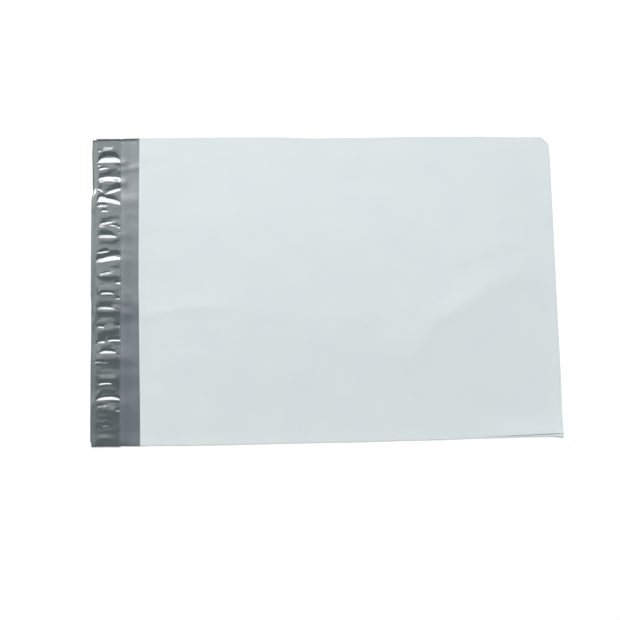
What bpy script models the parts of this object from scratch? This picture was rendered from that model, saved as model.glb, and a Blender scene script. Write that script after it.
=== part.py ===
"""A poly mailer bag lying flat: a folded film, the adhesive on its closing flap and the liner over it.

Metres, +Z up. The bag lies on its back panel, with the flap at -X and the folded bottom at +X.
The origin is on the surface that the bag lies on, under the middle of its outline.
"""
import math

import bmesh
import bpy
from mathutils import Vector
from mathutils.geometry import intersect_point_line

# The bag's own sizes, laid flat
BAG_WIDTH = 0.250
POCKET_LENGTH = 0.340
FLAP_LENGTH = 0.039
FILM_THICKNESS = 0.00006
CORNER_CUT = 0.006

# The side welds, which fill what lies between the two panels
WELD_WIDTH = 0.0025
WELD_DEPTH = 0.00002

# How far the two panels stand apart, and how far from an edge they are fully apart
LOFT = 0.0018
MOUTH_OPENING = 0.0008
FOLD_OPENING = 0.0004
SHOULDER = 0.045
FOLD_REACH = 0.012
MOUTH_BOW = 0.0006
BOW_REACH = 0.030

# Soft ridges in the front panel: start and end, each as a share of the pocket's length from the mouth
# and a share of the bag's width from its middle, then the half width and the height
SWELLS = (
    (0.02, -0.09, 0.20, -0.065, 0.009, 0.00050),
    (0.66, -0.19, 0.86, 0.00, 0.011, 0.00045),
    (0.77, -0.05, 0.90, 0.11, 0.009, 0.00035),
    (0.73, 0.19, 0.72, 0.42, 0.015, 0.00030),
    (0.12, 0.40, 0.36, 0.33, 0.016, 0.00040),
    (0.30, -0.36, 0.55, -0.30, 0.016, 0.00035),
)

# The hot-melt adhesive on the flap's inner side
ADHESIVE_WIDTH = 0.019
ADHESIVE_INSET = 0.0045
ADHESIVE_END = 0.0010
ADHESIVE_THICKNESS = 0.00010

# The release liner over the adhesive, puckered where it is stuck
LINER_INSET = 0.0003
LINER_LAP = 0.0004
LINER_OVERHANG = 0.0008
LINER_THICKNESS = 0.00005
PUCKER_HEIGHT = 0.0008
PUCKER_RISE = 0.0014

# Where the liner's outer edge has come up off the flap
CURL_PLACE = 0.823
CURL_LENGTH = 0.008
CURL_HEIGHT = 0.0012

# Clear space between one piece and the piece that it lies on
SEAT_GAP = 0.0001

# How finely the film and the liner are divided
PANEL_ROWS = 26
PANEL_COLUMNS = 16
FOLD_STEPS = 6
LINER_ROWS = 200
LINER_COLUMNS = 7

# Creases across the liner: place along it and rise towards the mouth, both as shares of the liner's
# length, where each starts and ends as shares of the stuck band, its depth share and its half width
CREASES = (
    (0.040, 0.000, 0.15, 0.60, 0.45, 0.0016),
    (0.083, 0.004, 0.15, 0.70, 0.45, 0.0016),
    (0.126, 0.008, 0.00, 0.55, 0.60, 0.0013),
    (0.149, 0.000, 0.00, 1.00, 1.00, 0.0016),
    (0.197, 0.003, 0.15, 0.75, 1.00, 0.0013),
    (0.218, -0.004, 0.10, 1.00, 0.55, 0.0020),
    (0.264, -0.006, 0.00, 0.40, 0.50, 0.0014),
    (0.298, 0.002, 0.15, 0.80, 1.00, 0.0015),
    (0.329, 0.010, 0.00, 1.00, 0.85, 0.0015),
    (0.378, -0.004, 0.00, 1.00, 0.60, 0.0018),
    (0.440, -0.004, 0.00, 0.85, 1.00, 0.0015),
    (0.487, 0.000, 0.10, 0.85, 0.95, 0.0014),
    (0.515, -0.004, 0.15, 1.00, 0.60, 0.0018),
    (0.553, 0.006, 0.10, 0.70, 0.80, 0.0015),
    (0.597, 0.022, 0.00, 1.00, 1.00, 0.0018),
    (0.620, 0.004, 0.00, 0.60, 0.60, 0.0012),
    (0.673, 0.000, 0.00, 0.90, 1.00, 0.0014),
    (0.714, 0.006, 0.05, 0.80, 0.95, 0.0014),
    (0.752, -0.004, 0.10, 0.55, 0.55, 0.0012),
    (0.768, 0.004, 0.00, 0.50, 0.70, 0.0012),
    (0.792, -0.030, 0.00, 1.00, 1.00, 0.0020),
    (0.817, 0.030, 0.25, 1.00, 0.85, 0.0015),
    (0.861, 0.000, 0.00, 1.00, 1.00, 0.0018),
    (0.896, 0.006, 0.00, 0.50, 0.75, 0.0012),
    (0.925, 0.000, 0.00, 1.00, 1.00, 0.0024),
    (0.962, -0.004, 0.00, 0.70, 0.50, 0.0016),
)

# Places worked out from the sizes above
BAG_LENGTH = POCKET_LENGTH + FLAP_LENGTH
FLAP_EDGE = -BAG_LENGTH / 2
MOUTH = FLAP_EDGE + FLAP_LENGTH
WELD_RISE = FILM_THICKNESS + WELD_DEPTH
FOLD_RADIUS = (WELD_RISE + FOLD_OPENING) / 2
FOLD = BAG_LENGTH / 2 - FOLD_RADIUS - FILM_THICKNESS / 2
BACK_HEIGHT = FILM_THICKNESS / 2
ADHESIVE_EDGE = FLAP_EDGE + ADHESIVE_INSET
ADHESIVE_BOTTOM = FILM_THICKNESS + SEAT_GAP
LINER_EDGE = FLAP_EDGE + LINER_INSET
LINER_END = ADHESIVE_EDGE + ADHESIVE_WIDTH + LINER_LAP
LINER_HEIGHT = ADHESIVE_BOTTOM + ADHESIVE_THICKNESS + SEAT_GAP + LINER_THICKNESS / 2
LINER_LENGTH = BAG_WIDTH + LINER_OVERHANG


def clear_scene():
    """Takes away every object that the scene starts with."""
    for thing in list(bpy.data.objects):
        bpy.data.objects.remove(thing, do_unlink=True)


def collection(name):
    """A collection of this name, linked to the scene."""
    made = bpy.data.collections.new(name)
    bpy.context.scene.collection.children.link(made)
    return made


def material(name, colour, roughness, transmission=0.0):
    """A Principled material of one colour."""
    made = bpy.data.materials.new(name)
    made.use_nodes = True
    shader = made.node_tree.nodes["Principled BSDF"]
    shader.inputs["Base Color"].default_value = (*colour, 1.0)
    shader.inputs["Roughness"].default_value = roughness
    shader.inputs["Metallic"].default_value = 0.0
    shader.inputs["Transmission Weight"].default_value = transmission
    return made


def smooth(share):
    """Runs from 0 to 1 as share does, level at both ends."""
    share = min(max(share, 0.0), 1.0)
    return share * share * (3.0 - 2.0 * share)


def spread(first, last, steps):
    """Evenly spaced values from first to last, both of them included."""
    return [first + (last - first) * k / steps for k in range(steps + 1)]


def weld_rise(along):
    """Height of the front panel over the back one at the welds, which grows towards the fold."""
    return WELD_RISE + FOLD_OPENING * smooth(1.0 - (FOLD - along) / FOLD_REACH)


def swell(along, across):
    """Height that the soft ridges add to the front panel, each fading out round its line."""
    place = Vector((along, across))
    height = 0.0
    for start_along, start_across, end_along, end_across, half_width, crest in SWELLS:
        start = Vector((MOUTH + start_along * POCKET_LENGTH, start_across * BAG_WIDTH))
        end = Vector((MOUTH + end_along * POCKET_LENGTH, end_across * BAG_WIDTH))
        nearest, share = intersect_point_line(place, start, end)
        nearest = start.lerp(end, min(max(share, 0.0), 1.0))
        height += crest * math.exp(-((place - nearest).length / half_width) ** 2)
    return height


def rise(along, across):
    """Height of the front panel's middle surface over the back panel's."""
    inside = BAG_WIDTH / 2 - WELD_WIDTH - abs(across)
    open_share = smooth(inside / SHOULDER) * smooth((FOLD - along) / SHOULDER)
    mouth_share = smooth((along - MOUTH) / SHOULDER)
    loft = MOUTH_OPENING + (LOFT - MOUTH_OPENING) * mouth_share
    return weld_rise(along) + open_share * (loft + swell(along, across))


def mouth_bow(along, across):
    """How far the front panel's edge bows over the flap, most in the middle of the mouth."""
    near_mouth = smooth(1.0 - (along - MOUTH) / BOW_REACH)
    return MOUTH_BOW * near_mouth * (1.0 - (2.0 * across / BAG_WIDTH) ** 2)


def back_point(along, across):
    return along, across, BACK_HEIGHT


def fold_point(turn, across):
    side = FOLD + FOLD_RADIUS * math.sin(turn)
    return side, across, BACK_HEIGHT + FOLD_RADIUS * (1.0 - math.cos(turn))


def front_point(along, across):
    return along - mouth_bow(along, across), across, BACK_HEIGHT + rise(along, across)


def front_rows():
    """Places along the front panel, from the fold to the mouth, closer together at the fold."""
    curled = spread(FOLD, FOLD - FOLD_REACH, 4)
    return curled + spread(FOLD - FOLD_REACH, MOUTH, PANEL_ROWS)[1:]


def panel_columns():
    """Places across the bag, with a line along each weld's inner edge and closer lines beside it."""
    weld_edge = BAG_WIDTH / 2 - WELD_WIDTH
    beside = [weld_edge - SHOULDER * share for share in (0.12, 0.28, 0.48, 0.72)]
    middle = spread(SHOULDER - weld_edge, weld_edge - SHOULDER, PANEL_COLUMNS)
    outer = [BAG_WIDTH / 2, weld_edge, *beside]
    return [-place for place in outer] + middle + outer[::-1]


def bent_grid(name, rows, columns, point):
    """A grid with its lines at rows and columns, each corner of it put where point says."""
    mesh = bpy.data.meshes.new(name)
    form = bmesh.new()
    row_steps, column_steps = len(rows) - 1, len(columns) - 1
    bmesh.ops.create_grid(form, x_segments=row_steps, y_segments=column_steps, size=0.5)
    for corner in form.verts:
        row = rows[round((corner.co.x + 0.5) * row_steps)]
        column = columns[round((corner.co.y + 0.5) * column_steps)]
        corner.co = point(row, column)
    form.to_mesh(mesh)
    form.free()
    return bpy.data.objects.new(name, mesh)


def thicken(thing, thickness):
    """Gives a sheet its thickness, half on each side."""
    wall = thing.modifiers.new("thickness", "SOLIDIFY")
    wall.thickness = thickness
    wall.offset = 0.0
    wall.use_even_offset = True


def join_or_cut(thing, tool, operation):
    """A Boolean modifier with one of the helper solids."""
    change = thing.modifiers.new(tool.name, "BOOLEAN")
    change.operation = operation
    change.solver = "EXACT"
    change.object = tool


def helper(thing, helpers):
    """Keeps a helper solid out of the picture and out of the part."""
    thing.hide_render = True
    thing.display_type = "WIRE"
    helpers.objects.link(thing)
    return thing


def weld_fill(name, start, middle, width, helpers):
    """What fills the bag between its panels from start to the fold, width wide about middle."""
    curled = [x for x in front_rows() if x > start + FOLD_REACH / 100 and x >= FOLD - FOLD_REACH]
    upper = [(x, BACK_HEIGHT + weld_rise(x)) for x in curled + [start]]
    bend = [fold_point(turn, 0.0) for turn in spread(0.0, math.pi, FOLD_STEPS)[:-1]]
    outline = [(start, BACK_HEIGHT)] + [(x, z) for x, _, z in bend] + upper
    mesh = bpy.data.meshes.new(name)
    form = bmesh.new()
    side = form.faces.new([form.verts.new((x, middle - width / 2, z)) for x, z in outline])
    swept = bmesh.ops.extrude_face_region(form, geom=[side])
    far = [part for part in swept["geom"] if isinstance(part, bmesh.types.BMVert)]
    bmesh.ops.translate(form, verts=far, vec=(0.0, width, 0.0))
    bmesh.ops.recalc_face_normals(form, faces=form.faces)
    form.to_mesh(mesh)
    form.free()
    return helper(bpy.data.objects.new(name, mesh), helpers)


def corner_cutter(helpers):
    """A block on its edge that takes the far corner off the bag's bottom."""
    size = CORNER_CUT * 4
    mesh = bpy.data.meshes.new("corner_cutter")
    form = bmesh.new()
    bmesh.ops.create_cube(form, size=size)
    form.to_mesh(mesh)
    form.free()
    cutter = bpy.data.objects.new("corner_cutter", mesh)
    reach = size / 2 - CORNER_CUT / math.sqrt(2.0)
    step = reach / math.sqrt(2.0)
    cutter.location = (BAG_LENGTH / 2 + step, BAG_WIDTH / 2 + step, 0.0)
    cutter.rotation_euler.z = math.radians(45.0)
    return helper(cutter, helpers)


def mailer_film(bag, helpers):
    """The film: back panel with the flap, bottom fold and front panel in one, welded at both sides."""
    rows = [(back_point, x) for x in (FLAP_EDGE, MOUTH, FOLD)]
    rows += [(fold_point, turn) for turn in spread(0.0, math.pi, FOLD_STEPS)[1:-1]]
    rows += [(front_point, x) for x in front_rows()]
    film = bent_grid("mailer_film", rows, panel_columns(), lambda row, across: row[0](row[1], across))
    thicken(film, FILM_THICKNESS)
    edge = FILM_THICKNESS
    inner = (BAG_WIDTH - WELD_WIDTH) / 2
    for side, name in ((-1, "near_weld"), (1, "far_weld")):
        width = WELD_WIDTH - 2 * edge
        fill = weld_fill(name, MOUTH + edge, side * inner, width, helpers)
        join_or_cut(film, fill, "UNION")
    corner_width = CORNER_CUT + WELD_WIDTH
    corner_middle = (BAG_WIDTH - corner_width) / 2 - 2 * edge
    corner_start = FOLD - CORNER_CUT - WELD_WIDTH
    corner = weld_fill("corner_weld", corner_start, corner_middle, corner_width, helpers)
    join_or_cut(film, corner, "UNION")
    join_or_cut(film, corner_cutter(helpers), "DIFFERENCE")
    film.data.materials.append(material("white_film", (0.80, 0.83, 0.84), 0.42))
    bag.objects.link(film)
    return film


def adhesive_strip(bag):
    """The stripe of adhesive along the flap, a thin slab with its long edges rounded over."""
    length = BAG_WIDTH - 2 * ADHESIVE_END
    size = (ADHESIVE_WIDTH, length, ADHESIVE_THICKNESS)
    mesh = bpy.data.meshes.new("adhesive_strip")
    form = bmesh.new()
    bmesh.ops.create_cube(form, size=1.0)
    bmesh.ops.scale(form, verts=form.verts, vec=size)
    form.to_mesh(mesh)
    form.free()
    strip = bpy.data.objects.new("adhesive_strip", mesh)
    middle_height = ADHESIVE_BOTTOM + ADHESIVE_THICKNESS / 2
    strip.location = (ADHESIVE_EDGE + ADHESIVE_WIDTH / 2, 0.0, middle_height)
    strip.data.materials.append(material("clear_adhesive", (0.55, 0.56, 0.54), 0.25))
    bag.objects.link(strip)
    return strip


def crease_depth(crease, along_share, band_share):
    """How deep one crease is at a place: 1 on its line, 0 clear of it and past its ends."""
    place, lean, start, end, depth, half_width = crease
    line = place + lean * (band_share - 0.5)
    off = abs(along_share - line) * LINER_LENGTH / half_width
    taper = smooth((band_share - start) / 0.12 + 1.0) * smooth((end - band_share) / 0.12 + 1.0)
    return depth * taper * math.exp(-off)


def pucker(x, y):
    """Height of the liner over its flat margin: pillows between the creases, over the adhesive only."""
    band_share = (x - ADHESIVE_EDGE) / ADHESIVE_WIDTH
    along_share = (y + BAG_WIDTH / 2) / BAG_WIDTH
    inside = min(x - ADHESIVE_EDGE, ADHESIVE_EDGE + ADHESIVE_WIDTH - x)
    ends = BAG_WIDTH / 2 - abs(y)
    edge = smooth(inside / PUCKER_RISE) * smooth(ends / PUCKER_RISE)
    deepest = max(crease_depth(crease, along_share, band_share) for crease in CREASES)
    return PUCKER_HEIGHT * edge * (1.0 - deepest)


def curl(x, y):
    """Height of the spot where the liner's free margin has come up, most at its outer edge."""
    off = (y - (CURL_PLACE - 0.5) * BAG_WIDTH) / CURL_LENGTH
    free_share = smooth((ADHESIVE_EDGE - x) / (ADHESIVE_EDGE - LINER_EDGE))
    return CURL_HEIGHT * free_share * math.exp(-off * off)


def release_liner(bag):
    """The liner: a thin strip over the adhesive, flat at its margin and puckered where it is stuck."""
    margin = spread(LINER_EDGE, ADHESIVE_EDGE, 3)
    stuck = spread(ADHESIVE_EDGE, ADHESIVE_EDGE + ADHESIVE_WIDTH, LINER_COLUMNS)
    columns = margin[:-1] + stuck + [LINER_END]
    rows = spread(-BAG_WIDTH / 2 - LINER_OVERHANG, BAG_WIDTH / 2, LINER_ROWS)
    liner = bent_grid(
        "release_liner", columns, rows, lambda x, y: (x, y, LINER_HEIGHT + pucker(x, y) + curl(x, y))
    )
    thicken(liner, LINER_THICKNESS)
    liner.data.materials.append(material("clear_liner", (0.62, 0.66, 0.67), 0.15, 0.3))
    liner.data.shade_smooth()
    bag.objects.link(liner)
    return liner


def main():
    clear_scene()
    bag = collection("poly_mailer_bag")
    helpers = collection("helpers")
    mailer_film(bag, helpers)
    adhesive_strip(bag)
    release_liner(bag)


main()
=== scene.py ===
"""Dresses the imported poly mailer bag: the film with its grey inside, the adhesive and the puckered liner.

Metres, +Z up. The flap is at -X, the folded bottom at +X, and the far side of the bag at +Y.
"""
import math

import bmesh
import bpy
import numpy as np
from mathutils import Matrix, Vector, noise

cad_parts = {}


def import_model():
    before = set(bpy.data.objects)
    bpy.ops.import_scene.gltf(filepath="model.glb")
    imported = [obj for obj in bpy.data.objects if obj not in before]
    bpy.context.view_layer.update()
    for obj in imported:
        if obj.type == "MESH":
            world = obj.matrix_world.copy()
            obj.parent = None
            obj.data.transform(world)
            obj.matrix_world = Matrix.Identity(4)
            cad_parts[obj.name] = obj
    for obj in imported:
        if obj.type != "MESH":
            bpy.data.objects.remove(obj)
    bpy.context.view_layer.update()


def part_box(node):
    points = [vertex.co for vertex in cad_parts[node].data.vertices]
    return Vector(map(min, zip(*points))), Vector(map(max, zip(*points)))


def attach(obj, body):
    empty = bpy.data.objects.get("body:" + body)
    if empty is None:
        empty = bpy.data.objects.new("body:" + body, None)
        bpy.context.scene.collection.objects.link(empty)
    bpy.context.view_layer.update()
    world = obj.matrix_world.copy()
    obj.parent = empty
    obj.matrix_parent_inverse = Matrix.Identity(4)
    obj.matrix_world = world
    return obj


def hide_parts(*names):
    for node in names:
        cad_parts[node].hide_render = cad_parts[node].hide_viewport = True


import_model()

MM = 0.001

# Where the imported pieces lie
FILM_LOW, FILM_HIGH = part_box("mailer_film")
LINER_LOW, LINER_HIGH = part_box("release_liner")
GLUE_LOW, GLUE_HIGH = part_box("adhesive_strip")
FLAP_EDGE = FILM_LOW[0]
BAG_END = FILM_HIGH[0]
HALF_WIDTH = FILM_HIGH[1]
BAND_START = GLUE_LOW[0]

# The bag's own sizes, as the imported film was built
POCKET_LENGTH = 0.340
FILM_THICKNESS = 0.00006
WELD_WIDTH = 0.0025
WELD_RISE = 0.00008
CORNER_CUT = 0.006
LOFT = 0.0018
MOUTH_OPENING = 0.0008
FOLD_OPENING = 0.0004
FOLD_REACH = 0.012
MOUTH_BOW = 0.0006
BOW_REACH = 0.030
FOLD_RADIUS = (WELD_RISE + FOLD_OPENING) / 2
FOLD = BAG_END - FOLD_RADIUS - FILM_THICKNESS / 2
MOUTH = BAG_END - POCKET_LENGTH

# Outside the welds the film's trimmed edges are open over this width
TRIM = 0.0010

# The front panel: over what length its loft comes up, and how its free film stands off by a little
# and has waves, wrinkles near the mouth and puckers along the welds
SHOULDER_ACROSS = 0.110
SHOULDER_ALONG = 0.070
FREE_REACH = 0.012
FREE_GAP = 0.0002
PANEL_WAVE_HEIGHT = 0.00016
WRINKLE_HEIGHT = 0.00010
WRINKLE_REACH = 0.090
WELD_PUCKER_HEIGHT = 0.00005
WELD_PUCKER_REACH = 0.004

# Lumps of unevenness: their size along the bag and across it, in metres, and a seed
PANEL_LUMPS = (0.034, 0.016, 3.0)
WRINKLE_LUMPS = (0.030, 0.0065, 4.0)
WELD_LUMPS = (0.006, 0.006, 6.0)
FLAP_LUMPS = (0.016, 0.0060, 8.0)
RIB_LUMPS = (0.020, 0.006, 15.0)
VALLEY_LUMPS = (0.007, 0.009, 12.0)
PILLOW_LUMPS = (0.011, 0.0045, 5.0)
STREAK_LUMPS = (0.007, 0.0013, 2.0)

# Creases in the front panel: start and end in millimetres from the flap's outer edge and from the
# near side, then the reach to each side, the height and how far the crest is rounded. The sharper
# ones are the bag's clear lines, and the softer ones its faint swells.
CREASES = (
    (38.0, 103.0, 78.0, 109.0, 12.0, 0.60, 0.6),
    (78.0, 109.0, 116.0, 110.0, 12.0, 0.56, 0.8),
    (116.0, 110.0, 150.0, 104.0, 12.0, 0.24, 4.0),
    (261.0, 69.0, 279.0, 96.0, 12.0, 0.90, 4.0),
    (279.0, 96.0, 318.0, 120.0, 12.0, 1.30, 3.0),
    (318.0, 120.0, 349.0, 133.0, 11.0, 0.95, 4.0),
    (298.0, 146.0, 345.0, 158.0, 9.0, 0.55, 4.0),
    (60.0, 196.0, 130.0, 186.0, 16.0, 0.20, 6.0),
    (70.0, 52.0, 160.0, 60.0, 18.0, 0.18, 7.0),
    (200.0, 170.0, 290.0, 196.0, 18.0, 0.18, 7.0),
    (300.0, 40.0, 350.0, 60.0, 16.0, 0.18, 6.0),
)

# Valleys across the liner, in millimetres. From the flap's outer edge: start and end. From the near
# side: the valley's near rim at its start and at its end. Then the arch of that rim, the width of
# the wall that faces the far side, the width of the other wall, and the depth.
VALLEYS = (
    (4.8, 8.2, 238.6, 238.6, 0.0, 1.3, 1.2, 0.32),
    (5.0, 23.6, 228.2, 228.8, 0.3, 5.6, 2.9, 1.02),
    (4.9, 7.8, 225.6, 225.6, 0.0, 1.2, 1.6, 0.25),
    (5.0, 14.0, 222.2, 223.5, 0.0, 1.7, 2.0, 0.38),
    (4.9, 25.6, 213.6, 213.4, 0.2, 3.8, 4.4, 0.72),
    (5.9, 10.3, 212.6, 212.6, 0.0, 0.8, 0.8, 0.18),
    (4.8, 9.0, 206.6, 204.6, 0.0, 1.4, 3.0, 0.36),
    (9.8, 26.6, 201.2, 206.4, 0.2, 2.4, 3.4, 0.54),
    (4.8, 13.5, 196.2, 195.0, 0.3, 5.6, 1.5, 0.98),
    (9.0, 26.0, 196.6, 192.2, 0.4, 3.6, 3.4, 0.80),
    (4.8, 13.2, 192.0, 192.0, 0.0, 1.9, 1.3, 0.50),
    (8.0, 13.6, 187.8, 187.8, 0.0, 1.4, 1.6, 0.32),
    (9.3, 14.2, 183.3, 183.3, 0.0, 1.2, 1.2, 0.07),
    (6.0, 26.0, 176.4, 179.6, 0.0, 3.4, 2.2, 0.26),
    (7.0, 18.4, 176.8, 178.8, 0.0, 1.9, 1.2, 0.50),
    (15.0, 26.6, 176.6, 171.8, 0.5, 1.8, 1.0, 0.30),
    (21.5, 25.0, 170.2, 170.2, 0.0, 1.2, 1.2, 0.20),
    (4.2, 20.6, 166.6, 166.4, 0.3, 2.2, 3.2, 0.52),
    (4.9, 15.0, 153.5, 155.0, 0.0, 1.3, 2.0, 0.44),
    (4.1, 11.0, 146.2, 147.6, 0.0, 2.7, 2.8, 0.74),
    (6.5, 26.4, 146.0, 148.8, 0.2, 4.5, 2.4, 1.02),
    (7.2, 16.2, 135.9, 137.9, 0.0, 1.4, 0.9, 0.32),
    (19.2, 26.0, 128.9, 128.9, 0.0, 1.6, 1.2, 0.48),
    (7.9, 17.8, 126.0, 125.8, 0.0, 3.6, 3.0, 0.26),
    (7.4, 18.6, 120.6, 120.4, 0.1, 1.7, 1.2, 0.58),
    (19.8, 23.8, 116.4, 116.4, 0.0, 1.2, 0.9, 0.36),
    (4.4, 19.2, 108.6, 108.2, 0.3, 1.7, 3.2, 0.56),
    (18.5, 25.0, 107.8, 105.6, 0.0, 1.4, 1.2, 0.14),
    (4.9, 11.1, 93.6, 93.4, 0.2, 1.5, 1.2, 0.46),
    (19.0, 26.0, 94.4, 94.0, 0.0, 1.4, 1.0, 0.34),
    (4.2, 12.0, 79.8, 82.0, 0.0, 2.3, 2.2, 0.56),
    (13.2, 25.6, 82.8, 83.1, 0.0, 1.5, 2.0, 0.50),
    (7.4, 20.0, 73.3, 73.1, 0.2, 2.0, 1.5, 0.60),
    (20.5, 25.2, 71.6, 69.2, 0.0, 1.6, 1.2, 0.12),
    (3.4, 9.0, 65.6, 65.6, 0.0, 1.6, 1.2, 0.42),
    (7.8, 14.4, 65.4, 65.2, 0.0, 1.6, 1.0, 0.28),
    (6.6, 17.8, 48.3, 48.7, 0.1, 1.7, 1.3, 0.54),
    (7.0, 21.0, 38.6, 38.4, 0.3, 2.8, 3.2, 0.36),
    (4.4, 25.4, 35.5, 35.1, 1.2, 2.8, 1.6, 0.84),
    (4.9, 13.0, 30.2, 31.8, 0.0, 1.3, 1.4, 0.27),
    (19.8, 24.2, 27.0, 27.0, 0.0, 1.4, 1.3, 0.46),
    (9.6, 13.2, 20.4, 20.4, 0.0, 1.6, 1.2, 0.17),
    (9.0, 14.4, 15.0, 15.0, 0.0, 2.0, 1.8, 0.28),
)

# Soft waves in the liner between its valleys, written as the flap's are below
LINER_WAVES = (
    (11.5, 239.6, 16.0, 239.4, 2.8, 0.26),
    (14.0, 224.0, 20.0, 224.0, 3.0, 0.16),
    (5.5, 221.2, 12.5, 221.8, 2.6, 0.28),
    (7.0, 211.8, 17.0, 212.2, 3.1, 0.30),
    (9.0, 184.0, 14.0, 184.4, 2.0, 0.10),
    (9.0, 174.0, 17.0, 174.6, 3.0, 0.24),
    (9.0, 165.8, 22.0, 164.8, 3.2, 0.33),
    (8.6, 135.6, 23.0, 135.4, 3.4, 0.44),
    (8.0, 124.4, 20.0, 124.0, 5.0, 0.26),
    (6.0, 107.6, 22.0, 106.6, 3.2, 0.32),
    (8.5, 98.4, 11.0, 98.4, 2.0, 0.12),
    (12.0, 92.8, 17.0, 93.0, 5.0, 0.62),
    (9.5, 80.2, 14.5, 80.6, 2.0, 0.22),
    (9.5, 69.8, 18.5, 69.8, 3.4, 0.30),
    (10.8, 52.8, 20.0, 52.4, 3.2, 0.44),
    (9.0, 43.6, 18.0, 43.6, 2.6, 0.20),
    (9.5, 40.0, 15.0, 40.0, 2.0, 0.08),
    (13.0, 29.4, 20.0, 28.0, 4.2, 0.44),
    (9.0, 23.6, 15.0, 23.6, 1.6, 0.16),
    (9.4, 7.2, 12.6, 7.2, 1.8, 0.12),
)

# Soft waves in the flap, beside the stuck liner. From the flap's outer edge and from the near side:
# start and end, then the half width and the height, all in millimetres.
FLAP_WAVES = (
    (23.0, 222.4, 40.0, 225.6, 2.2, 0.26),
    (20.0, 229.2, 26.0, 228.6, 2.4, 0.42),
    (20.0, 212.4, 26.0, 212.0, 2.4, 0.46),
    (25.0, 173.0, 36.0, 171.0, 7.0, 0.17),
    (21.0, 147.4, 29.0, 147.0, 5.0, 0.20),
    (27.0, 117.0, 38.0, 113.0, 7.0, 0.20),
    (21.0, 110.0, 28.0, 105.0, 2.6, 0.14),
    (22.0, 197.0, 34.0, 197.6, 4.2, 0.22),
    (31.0, 187.0, 38.0, 184.0, 2.2, 0.10),
    (20.0, 168.0, 29.0, 168.6, 3.4, 0.18),
    (24.0, 156.6, 38.0, 154.2, 1.5, 0.07),
    (27.0, 136.6, 38.0, 136.6, 1.0, 0.05),
    (23.0, 127.2, 30.5, 121.0, 1.5, 0.08),
    (30.5, 121.0, 36.0, 112.0, 1.5, 0.08),
    (36.0, 112.0, 38.4, 106.0, 1.5, 0.08),
    (22.0, 69.6, 29.0, 69.0, 3.0, 0.14),
    (23.0, 51.8, 37.0, 51.2, 1.5, 0.06),
    (28.0, 33.0, 38.0, 30.0, 3.0, 0.10),
)

# How high the flap lies along its length: places from the near side and heights, in millimetres
FLAP_HEIGHTS = ((0.0, 0.0), (33.0, 0.55), (43.0, 0.4), (60.0, 0.75), (69.0, 0.95), (85.0, 0.65),
                (93.0, 0.65), (109.0, 1.25), (146.0, 1.2), (174.0, 0.9), (186.0, 0.9), (212.0, 0.15),
                (222.0, 0.1), (250.0, 0.5))

# How much higher the liner's outer edge stands here and there, in the same way
MARGIN_HEIGHTS = ((0.0, 0.0), (20.0, 0.1), (33.0, 0.5), (41.0, 0.0), (72.0, 0.0), (88.0, 0.4),
                  (97.0, 0.8), (105.0, 0.1), (140.0, 1.1), (188.0, 1.0), (201.0, 0.05), (216.0, 0.0),
                  (236.0, 0.4), (248.0, 0.0))

# How the flap lies: the part of its height that is the same all over and its fine waves, how it
# comes down to the mouth, the welds and the near end, and its rib beside the liner's inner edge
FLAP_REST_HEIGHT = 0.00014
FLAP_WAVE_HEIGHT = 0.00008
FLAP_SHOULDER = 0.040
FLAP_STOP = 0.004
FLAP_INTO_POCKET = 0.005
SHARE_AT_MOUTH = 0.4
SETTLE_REACH = 0.012
SHARE_AT_NEAR_END = 0.3
END_REACH = 0.0060
END_POWER = 4
RIB_HEIGHT = 0.00066
RIB_REACH = 0.0085
RIB_UNEVEN = 0.12

# How the liner lies: its free margin over the flap, its pillows, waves and fine streaks over the
# adhesive, and what is left of them at its inner edge
LINER_THICKNESS = 0.00005
LINER_BOTTOM = GLUE_HIGH[2] + 0.00003
LINER_NEAR_END = LINER_LOW[1] + 0.0003
MARGIN_LIFT = 0.00072
MARGIN_END_LIFT = 0.00005
MARGIN_POWER = 3
PILLOW_HEIGHT = 0.00014
PILLOW_RISE = 0.0020
PILLOW_SWAY = 0.00016
SWAY_RISE = 0.0015
WAVE_RISE = 0.0020
STREAK_HEIGHT = 0.00003
STREAK_RISE = 0.0010
INNER_EDGE_SHARE = 0.55
INNER_EDGE_REACH = 0.0060

# The spot where the liner's free margin has come up
CURL_START = 0.0752
CURL_END = 0.0834
CURL_REACH = 0.0064
CURL_BACK = 0.0160
CURL_HEIGHT = 0.0013

# The form of the liner's valleys: the two powers that round their outline, its least width, from
# what slope a wall is straight and by what share, and how the other wall runs out and how unevenly
OUTLINE_MIDDLE = 3
OUTLINE_ENDS = 0.6
OUTLINE_LEAST = 0.02
STEEP_WALL = 0.15
STRAIGHT_SHARE = 0.75
DARK_RUN = 1.5
DARK_POWER = 1.5
VALLEY_UNEVEN = 0.45

# The adhesive: how far its long sides wander and over what length, the places of the noise that
# they follow, and how its long edges are rounded
GLUE_UNEVEN = 0.0004
GLUE_LUMP = 0.006
GLUE_SIDE_SEED = 3.0
GLUE_SEED = 1.0
GLUE_ROUNDING = 0.45
GLUE_ROUND_STEPS = 3

# How edges stand up: the flap's far lip, the bag's near edge, the mouth's lip and the near fold corner
LIP_WIDTH = 0.0016
LIP_HEIGHT = 0.00045
NEAR_LIFT = 0.00032
NEAR_LIFT_REACH = 0.012
MOUTH_LIP = 0.0006
MOUTH_LIP_REACH = 0.007
CORNER_LIFT = 0.0011
CORNER_REACH = 0.006

# The near seam beside the fold: its strip starts narrow and widens, and the front panel steps up
# from it
SEAM_START = 0.118
SEAM_BLEND = 0.030
SEAM_NARROW = 0.0005
SEAM_WIDE = 0.0023
SEAM_STEP = 0.0003
SEAM_RISE = 0.0009
SEAM_REACH = 0.020

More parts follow.
